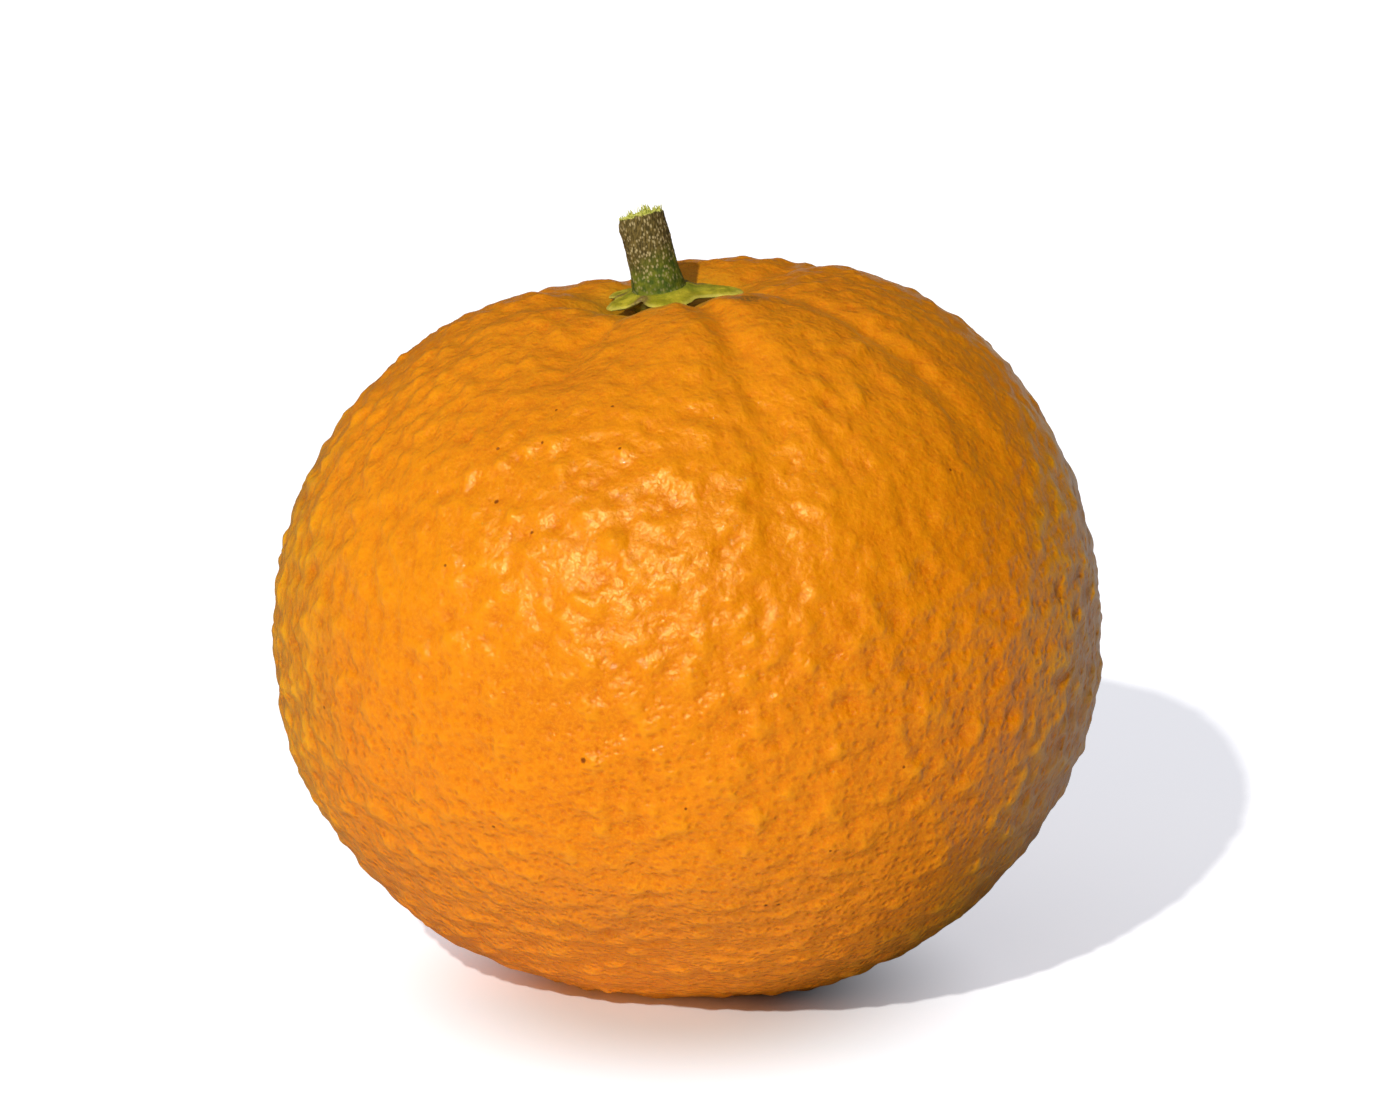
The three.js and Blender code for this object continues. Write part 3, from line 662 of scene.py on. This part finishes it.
def peel_material():
    m = Nodes("peel")
    p = m.millimetres()
    b = m.bsdf
    high = m.attribute("high")
    crown = m.attribute("crown")
    flank = m.attribute("flank")
    low = m.attribute("low")
    tip = m.attribute("tip")

    # oil glands, about 1.2 mm apart
    at = m.add("ShaderNodeAttribute", attribute_name="gland_uv").outputs["Vector"]
    wob = m.add("ShaderNodeTexNoise")
    m.put(wob.inputs["Vector"], p)
    wob.inputs["Scale"].default_value = 0.5
    wob.inputs["Detail"].default_value = 1.0
    q = m.vec("ADD", at, m.vec("SCALE", m.vec("SUBTRACT", wob.outputs["Color"], (0.5, 0.5, 0.5)), scale=0.8))
    cell = m.add("ShaderNodeTexVoronoi", feature="F1", voronoi_dimensions="2D")
    m.put(cell.inputs["Vector"], q)
    cell.inputs["Scale"].default_value = 0.84
    cell.inputs["Randomness"].default_value = 0.72
    near = cell.outputs["Distance"]
    each = m.add("ShaderNodeSeparateColor")
    m.put(each.inputs[0], cell.outputs["Color"])
    strength = m.math("MULTIPLY_ADD", each.outputs[0], 0.55, 0.45)
    dot = m.math("MULTIPLY", m.ramp(near, 0.0, 0.46, 1.0, 0.0), strength)

    broad = m.noise(p, 0.05, 2.0)
    mott = m.noise(p, 0.5, 3.0, 0.6)
    fine = m.noise(p, 3.0, 3.0, 0.65)
    col = m.mix(m.ramp(broad, 0.35, 0.65), (0.64, 0.178, 0.0010, 1), (0.70, 0.205, 0.0015, 1))
    col = m.mix(1.0, col, m.mix(low, (1.02, 1.09, 1.05, 1), (0.99, 0.925, 0.85, 1)), "MULTIPLY")
    col = m.mix(m.ramp(mott, 0.40, 0.66, 0.0, 0.5), col, (0.615, 0.155, 0.0009, 1))
    # Knob tops lighter and hollows darker: partly the peel's own tone, partly painted light on the knobs and painted
    # shade in the hollows.
    col = m.mix(m.ramp(high, 0.50, 1.0, 0.0, 0.60), col, (0.74, 0.256, 0.0022, 1))
    col = m.mix(m.ramp(high, 0.50, 0.0, 0.0, 0.65), col, (0.54, 0.114, 0.0007, 1))
    # Painted sheen and shade on the flanks: yellow on the knobs, dark brown in the hollows between them.
    col = m.mix(m.math("MULTIPLY", flank, 0.80), col,
                m.mix(m.ramp(high, 0.20, 0.80), (0.43, 0.130, 0.0020, 1), (0.66, 0.320, 0.0050, 1)))
    col = m.mix(m.math("MULTIPLY", m.math("MULTIPLY", dot, m.ramp(low, 0.0, 1.0, 0.60, 1.0)), 0.75), col,
                (0.56, 0.112, 0.0008, 1))
    col = m.mix(m.ramp(fine, 0.40, 0.66, 0.0, 0.50), col, (0.75, 0.268, 0.003, 1))
    col = m.mix(m.math("MULTIPLY", crown, 0.60), col, (0.42, 0.255, 0.008, 1))
    col = m.mix(m.math("MULTIPLY", tip, 0.5), col, (0.30, 0.16, 0.03, 1))

    # specks and a little brown scar by the calyx
    spot = None
    for place, r in MARKS:
        d = m.vec("DISTANCE", p, tuple(place))
        k = m.ramp(m.math("MULTIPLY_ADD", m.math("SUBTRACT", fine, 0.5), r * 0.9, d), r * 0.50, r * 1.15, 1.0, 0.0)
        spot = k if spot is None else m.math("MAXIMUM", spot, k)
    stray = m.voronoi(p, 0.115, randomness=1.0).outputs["Distance"]
    spot = m.math("MAXIMUM", spot, m.ramp(stray, 0.010, 0.022, 0.7, 0.0))
    col = m.mix(m.math("MULTIPLY", spot, 0.85), col, (0.13, 0.018, 0.0010, 1))
    ds = m.vec("DISTANCE", m.vec("MULTIPLY", p, (0.7, 1.1, 1.1)), tuple(np.array(SCAR) * (0.7, 1.1, 1.1)))
    scarred = m.math("MULTIPLY", m.ramp(ds, 0.6, 1.9, 1.0, 0.0), m.ramp(fine, 0.36, 0.54))
    col = m.mix(m.math("MULTIPLY", scarred, 0.85), col, (0.20, 0.085, 0.012, 1))
    m.link(col, b.inputs["Base Color"])

    # relief too fine for the mesh: gland dimples, then wrinkles in the wax
    pit = m.math("MULTIPLY", m.math("MULTIPLY", m.ramp(near, 0.0, 0.46, 1.0, 0.0), strength), m.ramp(low, 0.0, 1.0, 0.3, 1.0))
    n1 = m.bump(m.math("SUBTRACT", 1.0, pit), 0.12)
    n2 = m.bump(m.noise(p, 0.9, 1.0, 0.5), 0.14, normal=n1)
    wr = m.noise(p, 2.2, 2.0, 0.5, 0.2)
    m.link(m.bump(wr, 0.085, normal=n2), b.inputs["Normal"])
    m.link(m.bump(m.noise(p, 3.0, 2.0, 0.55, 0.1), 0.16, normal=n2), b.inputs["Coat Normal"])
    m.link(m.ramp(mott, 0.3, 0.7, 0.28, 0.36), b.inputs["Roughness"])
    b.inputs["IOR"].default_value = 1.36
    b.inputs["Specular IOR Level"].default_value = 0.55
    b.inputs["Specular Tint"].default_value = (1.0, 0.72, 0.28, 1)
    b.inputs["Subsurface Weight"].default_value = 0.08
    b.inputs["Subsurface Radius"].default_value = (1.0, 0.35, 0.05)
    b.inputs["Subsurface Scale"].default_value = 0.0012
    b.inputs["Coat Weight"].default_value = 0.34
    b.inputs["Coat IOR"].default_value = 1.28
    b.inputs["Coat Roughness"].default_value = 0.07
    b.inputs["Sheen Weight"].default_value = 0.08
    b.inputs["Sheen Roughness"].default_value = 0.45
    b.inputs["Sheen Tint"].default_value = (1.0, 0.76, 0.20, 1)
    return m.mat


def calyx_material():
    m = Nodes("calyx")
    p = m.millimetres()
    b = m.bsdf
    edge = m.attribute("edge")
    cork = m.attribute("cork")
    under = m.attribute("under")
    n1 = m.noise(p, 0.9, 3.0)
    n2 = m.noise(p, 5.0, 3.0, 0.65)
    col = m.mix(m.ramp(n1, 0.35, 0.65), srgb(142, 134, 14), srgb(184, 168, 36))
    col = m.mix(m.ramp(edge, 0.75, 0.40, 0.0, 0.55), col, srgb(100, 116, 20))
    col = m.mix(m.ramp(edge, 0.88, 1.0, 0.0, 0.5), col, srgb(204, 190, 84))
    col = m.mix(m.ramp(n2, 0.5, 0.75, 0.0, 0.4), col, srgb(104, 92, 24))
    col = m.mix(m.math("MULTIPLY", cork, m.ramp(n2, 0.3, 0.6, 0.6, 1.0)), col, srgb(112, 88, 42))
    # Painted shade: the underside of the calyx is darker green, for the shade under its lobes.
    col = m.mix(m.math("MULTIPLY", under, 0.6), col, srgb(64, 76, 16))
    m.link(col, b.inputs["Base Color"])
    m.link(m.bump(n2, 0.06), b.inputs["Normal"])
    b.inputs["Roughness"].default_value = 0.55
    b.inputs["Specular IOR Level"].default_value = 0.3
    b.inputs["Subsurface Weight"].default_value = 0.10
    b.inputs["Subsurface Radius"].default_value = (0.6, 1.0, 0.2)
    b.inputs["Subsurface Scale"].default_value = 0.0006
    return m.mat


def stem_material():
    m = Nodes("stem")
    p = m.millimetres()
    b = m.bsdf
    cut = m.attribute("cut")
    height = m.attribute("height")
    lent = m.attribute("lent")
    bark = m.attribute("bark")
    n1 = m.noise(p, 1.3, 3.0)
    n2 = m.noise(p, 6.0, 4.0, 0.7)
    stretch = m.add("ShaderNodeMapping")
    m.put(stretch.inputs["Vector"], p)
    stretch.inputs["Scale"].default_value = (6.0, 6.0, 1.4)
    n3 = m.noise(stretch.outputs[0], 1.0, 3.0, 0.6)
    green = m.mix(m.ramp(n1, 0.35, 0.65), srgb(64, 82, 6), srgb(106, 112, 18))
    brown = m.mix(m.ramp(n3, 0.35, 0.68), srgb(62, 48, 14), srgb(118, 98, 48))
    col = m.mix(m.math("MULTIPLY", bark, 0.92), green, brown)
    col = m.mix(m.math("MULTIPLY", lent, m.ramp(height, 0.05, 0.45, 0.35, 0.85)), col, srgb(186, 168, 118))
    col = m.mix(m.ramp(n2, 0.55, 0.75, 0.0, 0.5), col, srgb(44, 38, 12))
    wood = m.mix(m.ramp(n2, 0.35, 0.65), srgb(150, 158, 40), srgb(228, 222, 120))
    col = m.mix(cut, col, wood)
    m.link(col, b.inputs["Base Color"])
    nn = m.bump(n3, 0.10)
    m.link(m.bump(n2, 0.06, normal=nn), b.inputs["Normal"])
    b.inputs["Roughness"].default_value = 0.72
    b.inputs["Specular IOR Level"].default_value = 0.2
    return m.mat


fruit.data.materials.append(peel_material())
calyx.data.materials.append(calyx_material())
stem.data.materials.append(stem_material())

for piece, node, slot in ((fruit, "fruit", "peel"), (calyx, "calyx", "calyx"), (stem, "stem", "stem")):
    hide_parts(node)
    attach(piece, "root")

# ------------------------------------------------------------------- stage
def stage_material():
    m = Nodes("pale_floor")
    b = m.bsdf
    p = m.millimetres()
    n = m.noise(p, 0.02, 2.0)
    col = m.mix(m.ramp(n, 0.3, 0.7), (0.70, 0.70, 0.71, 1), (0.73, 0.725, 0.725, 1))
    b.inputs["Roughness"].default_value = 0.9
    b.inputs["Specular IOR Level"].default_value = 0.1
    path = m.add("ShaderNodeLightPath").outputs
    # Painted light: the floor glows though it is no lamp. For the camera it glows except within about 9 mm of the
    # contact, which lightens the cast shadow and leaves a painted dark ring round the contact; in front on the left it
    # glows for bounce light only, standing in for the light it throws back up.
    ahead = m.ramp(m.vec("DOT_PRODUCT", p, (-0.56, -0.828, 0.0)), 2.0, 20.0, 0.0, 0.86)
    seen = m.ramp(m.vec("DISTANCE", p, (-1.0, -7.0, 0.0)), 9.0, 34.0, 0.0, 0.60)
    glow = m.math("MULTIPLY_ADD", path["Is Diffuse Ray"], ahead, m.math("MULTIPLY", path["Is Camera Ray"], seen))
    # Painted reflection: a faint glow seen only in reflections, out to the right.
    mirrored = m.math("MULTIPLY", path["Is Glossy Ray"], m.ramp(m.vec("DOT_PRODUCT", p, (1.0, 0.15, 0.0)), 30.0, 70.0, 0.0, 0.12))
    m.link(m.math("ADD", glow, mirrored), b.inputs["Emission Strength"])
    # The glow is bluer for the camera, which paints the cast shadow lavender.
    m.link(m.mix(path["Is Camera Ray"], (0.97, 0.97, 1.0, 1), (0.925, 0.93, 1.0, 1)), b.inputs["Emission Color"])
    # Painted shade in what the fruit sees of the floor: nearly black in reflections except far out on the right, and
    # darker to the right of the fruit for bounce light.
    across = m.vec("DOT_PRODUCT", p, (1.0, 0.15, 0.0))
    col = m.mix(m.math("MULTIPLY", path["Is Glossy Ray"], m.ramp(across, 30.0, 70.0, 0.95, 0.50)), col, (0.03, 0.03, 0.04, 1))
    right = m.math("MULTIPLY", m.ramp(across, -12.0, 28.0, 0.0, 0.88), m.ramp(across, 42.0, 85.0, 1.0, 0.40))
    col = m.mix(m.math("MULTIPLY", path["Is Diffuse Ray"], right), col, (0.08, 0.08, 0.09, 1))
    # painted shade for the camera only: the floor in front is a little darker and less red, where the light off the
    # fruit reaches it
    front = m.math("MULTIPLY", m.ramp(m.vec("DOT_PRODUCT", p, (-0.3, -0.954, 0.0)), 6.0, 20.0, 0.0, 1.0),
                   m.ramp(m.vec("DISTANCE", p, (-1.0, -7.0, 0.0)), 34.0, 80.0, 1.0, 0.0))
    col = m.mix(m.math("MULTIPLY", path["Is Camera Ray"], front), col,
                m.mix(1.0, col, (0.84, 0.955, 0.985, 1), "MULTIPLY"))
    m.link(col, b.inputs["Base Color"])
    return m.mat


size = 12.0
fm = bpy.data.meshes.new("floor")
fm.from_pydata([(-size, -size, 0), (size, -size, 0), (size, size, 0), (-size, size, 0)], [], [(0, 1, 2, 3)])
floor = bpy.data.objects.new("floor", fm)
floor.location = (0, 0, -0.00002)
bpy.context.scene.collection.objects.link(floor)
fm.materials.append(stage_material())

sun_data = bpy.data.lights.new("key", "SUN")
sun_data.energy = 2.82
sun_data.angle = math.radians(1.5)
sun_data.color = (1.0, 0.985, 0.95)
sun = bpy.data.objects.new("key", sun_data)
az, el = math.radians(68.74), math.radians(37.85)
travel = np.array([math.cos(az) * math.cos(el), math.sin(az) * math.cos(el), -math.sin(el)])
from mathutils import Vector
sun.rotation_euler = Vector(travel).to_track_quat("-Z", "Y").to_euler()
bpy.context.scene.collection.objects.link(sun)
# a broad, weak sheen from the same side, seen in reflections only
sheen_data = bpy.data.lights.new("sheen", "SUN")
sheen_data.energy = 1.6
sheen_data.angle = math.radians(54.0)
sheen = bpy.data.objects.new("sheen", sheen_data)
sheen.rotation_euler = sun.rotation_euler
sheen.visible_diffuse = False
bpy.context.scene.collection.objects.link(sheen)

# soft fill: brighter from the left, the front and above, and a pale horizon
world = bpy.data.worlds.new("studio")
bpy.context.scene.world = world
world.use_nodes = True
wt = world.node_tree
bg = wt.nodes["Background"]
tc = wt.nodes.new("ShaderNodeTexCoord")
dot = wt.nodes.new("ShaderNodeVectorMath")
dot.operation = "DOT_PRODUCT"
wt.links.new(tc.outputs["Generated"], dot.inputs[0])
dot.inputs[1].default_value = (-0.54, -0.34, 0.77)
side = wt.nodes.new("ShaderNodeMapRange")
side.interpolation_type = "SMOOTHSTEP"
wt.links.new(dot.outputs["Value"], side.inputs["Value"])
for key, value in (("From Min", -0.3), ("From Max", 0.75), ("To Min", 0.0), ("To Max", 0.47)):
    side.inputs[key].default_value = value
xyz = wt.nodes.new("ShaderNodeSeparateXYZ")
wt.links.new(tc.outputs["Generated"], xyz.inputs[0])
rim = wt.nodes.new("ShaderNodeMapRange")
rim.interpolation_type = "SMOOTHSTEP"
wt.links.new(xyz.outputs["Z"], rim.inputs["Value"])
for key, value in (("From Min", 0.085), ("From Max", 0.045), ("To Min", 0.0), ("To Max", 0.35)):
    rim.inputs[key].default_value = value
most = wt.nodes.new("ShaderNodeMath")
most.operation = "MAXIMUM"
wt.links.new(side.outputs[0], most.inputs[0])
wt.links.new(rim.outputs[0], most.inputs[1])
# dimmer in reflections, as through a polarising filter
ray = wt.nodes.new("ShaderNodeLightPath")
dim = wt.nodes.new("ShaderNodeMath")
dim.operation = "MULTIPLY_ADD"
wt.links.new(ray.outputs["Is Glossy Ray"], dim.inputs[0])
dim.inputs[1].default_value = -0.84
dim.inputs[2].default_value = 1.0
fill = wt.nodes.new("ShaderNodeMath")
fill.operation = "MULTIPLY"
wt.links.new(most.outputs[0], fill.inputs[0])
wt.links.new(dim.outputs[0], fill.inputs[1])
wt.links.new(fill.outputs[0], bg.inputs[1])
bg.inputs[0].default_value = (0.96, 0.97, 1.0, 1)

bpy.context.scene.view_settings.view_transform = "Standard"
bpy.context.scene.view_settings.look = "None"
